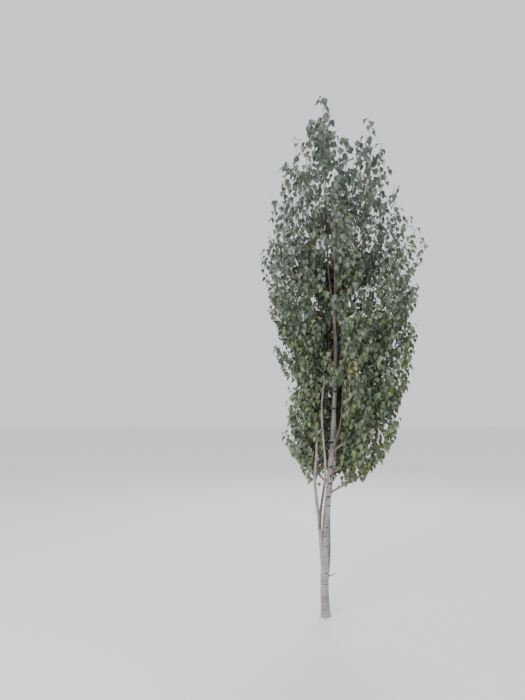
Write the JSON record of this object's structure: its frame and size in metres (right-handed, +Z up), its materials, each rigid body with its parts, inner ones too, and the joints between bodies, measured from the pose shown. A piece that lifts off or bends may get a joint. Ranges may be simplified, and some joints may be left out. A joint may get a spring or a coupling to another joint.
{
  "type": "birch tree",
  "caption": "Young birch in leaf: a leaning pale trunk with lesser stems beside it, steep boughs and a narrow open crown that ends in upright spires.",
  "frame": {"origin": "centre of the flat cut under the trunk, at ground level", "axes": "+Z up, +X to the right as seen from the front, +Y away from the viewer"},
  "size_m": [1.6668, 1.6692, 5.0318],
  "materials": {
    "bark": "matt peeling bark",
    "foliage": "satin leaves"
  },
  "bodies": {
    "root": {"bough_low_1": "bark", "bough_low_4": "bark", "bough_low_5": "bark", "bough_middle_1": "bark", "bough_middle_2": "bark", "bough_middle_3": "bark", "bough_middle_4": "bark", "bough_middle_5": "bark", "bough_middle_6": "bark", "bough_skirt_1": "bark", "bough_skirt_2": "bark", "bough_skirt_3": "bark", "bough_skirt_4": "bark", "bough_top_1": "bark", "bough_top_2": "bark", "bough_top_3": "bark", "bough_top_4": "bark", "bough_upper_1": "bark", "bough_upper_2": "bark", "bough_upper_3": "bark", "bough_upper_4": "bark", "bough_upper_5": "bark", "foliage_leader": "foliage", "foliage_low_1": "foliage", "foliage_low_2": "foliage", "foliage_low_3": "foliage", "foliage_low_4": "foliage", "foliage_low_5": "foliage", "foliage_middle_1": "foliage", "foliage_middle_2": "foliage", "foliage_middle_3": "foliage", "foliage_middle_4": "foliage", "foliage_middle_5": "foliage", "foliage_middle_6": "foliage", "foliage_skirt_1": "foliage", "foliage_skirt_2": "foliage", "foliage_skirt_3": "foliage", "foliage_skirt_4": "foliage", "foliage_top_1": "foliage", "foliage_top_2": "foliage", "foliage_top_3": "foliage", "foliage_top_4": "foliage", "foliage_upper_1": "foliage", "foliage_upper_2": "foliage", "foliage_upper_3": "foliage", "foliage_upper_4": "foliage", "foliage_upper_5": "foliage", "inner_stem": "bark", "left_stem": "bark", "rear_stem": "bark", "trunk": "bark"}
  },
  "joints": []
}
